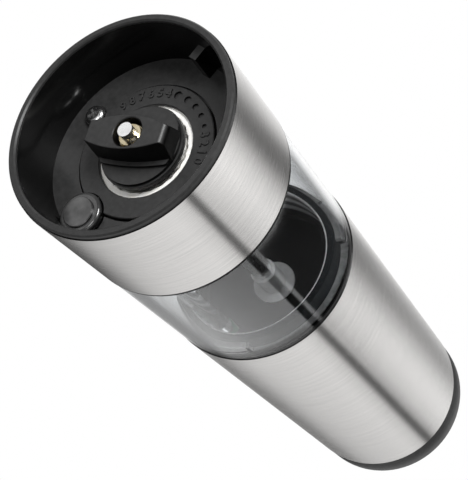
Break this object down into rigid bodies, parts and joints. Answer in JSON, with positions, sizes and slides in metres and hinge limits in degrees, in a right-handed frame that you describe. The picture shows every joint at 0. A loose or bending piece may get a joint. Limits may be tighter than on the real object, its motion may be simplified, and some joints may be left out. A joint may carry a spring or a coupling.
{
  "type": "electric spice grinder",
  "caption": "Push-button electric spice mill: steel cylinder with a clear jar band, black base recess with a wing knob over a ceramic burr, planetary drive, cell tray and top button.",
  "frame": {"origin": "centre of the black rim's face, which the grinder stands on", "axes": "+Z along the body from the grinding end to the push button; the work light is at +X"},
  "size_m": [0.056, 0.056, 0.198],
  "materials": {
    "black_gloss": "high gloss",
    "black_satin": "satin moulded",
    "steel_sleeve": "brushed round the axis",
    "clear_jar": "clear",
    "smoky_lens": "smoky, stepped",
    "ceramic": "unglazed",
    "bright_screw": "bright",
    "machine_steel": "turned",
    "spring_wire": "drawn wire",
    "grey_plastic": "moulded",
    "gear_plastic": "natural acetal",
    "brass_part": "plain",
    "motor_steel": "zinc plated",
    "seal_rubber": "silicone",
    "cell_wrap": "printed sleeve, plain",
    "board": "circuit board",
    "led_clear": "clear epoxy",
    "switch_black": "moulded"
  },
  "bodies": {
    "base": {"base_cup": "black_gloss", "lower_sleeve": "steel_sleeve", "scale_disc": "black_satin", "plate_screws": "bright_screw", "outer_burr": "ceramic", "light_lens": "smoky_lens", "light_pipe": "clear_jar", "spice_jar": "clear_jar", "mouth_seal": "seal_rubber", "bearing_bridge": "grey_plastic"},
    "power_unit": {"chassis": "black_gloss", "ring_gear": "gear_plastic", "output_bush": "grey_plastic", "gearbox_cover": "gear_plastic", "gearbox_screws": "machine_steel", "motor_can": "motor_steel", "motor_screws": "machine_steel", "led_board": "board", "led_lamp": "led_clear", "battery_tray": "black_satin", "tray_screws": "machine_steel", "battery_plates": "brass_part", "battery_springs": "spring_wire", "contact_strips": "brass_part", "press_switch": "switch_black", "battery_cell_1": "cell_wrap", "battery_cell_2": "cell_wrap", "battery_cell_3": "cell_wrap", "battery_cell_4": "cell_wrap"},
    "drive": {"drive_shaft": "machine_steel", "planet_carrier": "gear_plastic", "coupling_hub": "grey_plastic", "shaft_clip": "spring_wire", "knob_spring": "spring_wire", "burr_spring": "spring_wire"},
    "grinding_cone": {"inner_burr": "ceramic", "burr_carrier": "grey_plastic"},
    "knob": {"setting_knob": "black_satin"},
    "planet_1": {"planet_gear_1": "gear_plastic"},
    "planet_2": {"planet_gear_2": "gear_plastic"},
    "planet_3": {"planet_gear_3": "gear_plastic"},
    "rotor": {"motor_shaft": "machine_steel", "sun_pinion": "brass_part"},
    "top_housing": {"upper_sleeve": "steel_sleeve", "top_cap": "black_gloss", "button_guide": "black_satin", "button_spring": "spring_wire"},
    "button": {"push_button": "black_gloss"}
  },
  "joints": [
    {"name": "unlock_twist", "type": "hinge", "parent": "base", "child": "power_unit", "pos_m": [0, 0, 0.073], "axis": [0, 0, 1], "range_deg": [0, 30]},
    {"name": "drive_spin", "type": "hinge", "parent": "power_unit", "child": "drive", "pos_m": [0, 0, 0.09], "axis": [0, 0, 1], "continuous": true},
    {"name": "knob_turn", "type": "hinge", "parent": "drive", "child": "knob", "pos_m": [0, 0, 0.009], "axis": [0, 0, 1], "range_deg": [-110, 10]},
    {"name": "cone_feed", "type": "slide", "parent": "drive", "child": "grinding_cone", "axis": [0, 0, 1], "range_m": [-0.000611, 0.000055], "deforming": ["burr_spring"]},
    {"name": "planet_1_spin", "type": "hinge", "parent": "drive", "child": "planet_1", "pos_m": [0.0075, 0, 0.0957], "axis": [0, 0, 1], "continuous": true},
    {"name": "planet_2_spin", "type": "hinge", "parent": "drive", "child": "planet_2", "pos_m": [-0.00375, 0.0065, 0.0957], "axis": [0, 0, 1], "continuous": true},
    {"name": "planet_3_spin", "type": "hinge", "parent": "drive", "child": "planet_3", "pos_m": [-0.00375, -0.0065, 0.0957], "axis": [0, 0, 1], "continuous": true},
    {"name": "rotor_spin", "type": "hinge", "parent": "power_unit", "child": "rotor", "pos_m": [0, 0, 0.11], "axis": [0, 0, 1], "continuous": true},
    {"name": "sleeve_lift", "type": "slide", "parent": "power_unit", "child": "top_housing", "axis": [0, 0, 1], "range_m": [0, 0.118]},
    {"name": "button_press", "type": "slide", "parent": "top_housing", "child": "button", "axis": [0, 0, -1], "range_m": [0, 0.0018], "stiffness_N_per_m": 600, "springref_m": -0.003, "deforming": ["button_spring"]}
  ],
  "couplings": [
    {"joint": "planet_1_spin", "follows": "drive_spin", "ratio": -2.6667},
    {"joint": "planet_2_spin", "follows": "drive_spin", "ratio": -2.6667},
    {"joint": "planet_3_spin", "follows": "drive_spin", "ratio": -2.6667},
    {"joint": "rotor_spin", "follows": "drive_spin", "ratio": 5},
    {"joint": "knob_turn", "follows": "cone_feed", "rad_per_m": 3141.6}
  ]
}
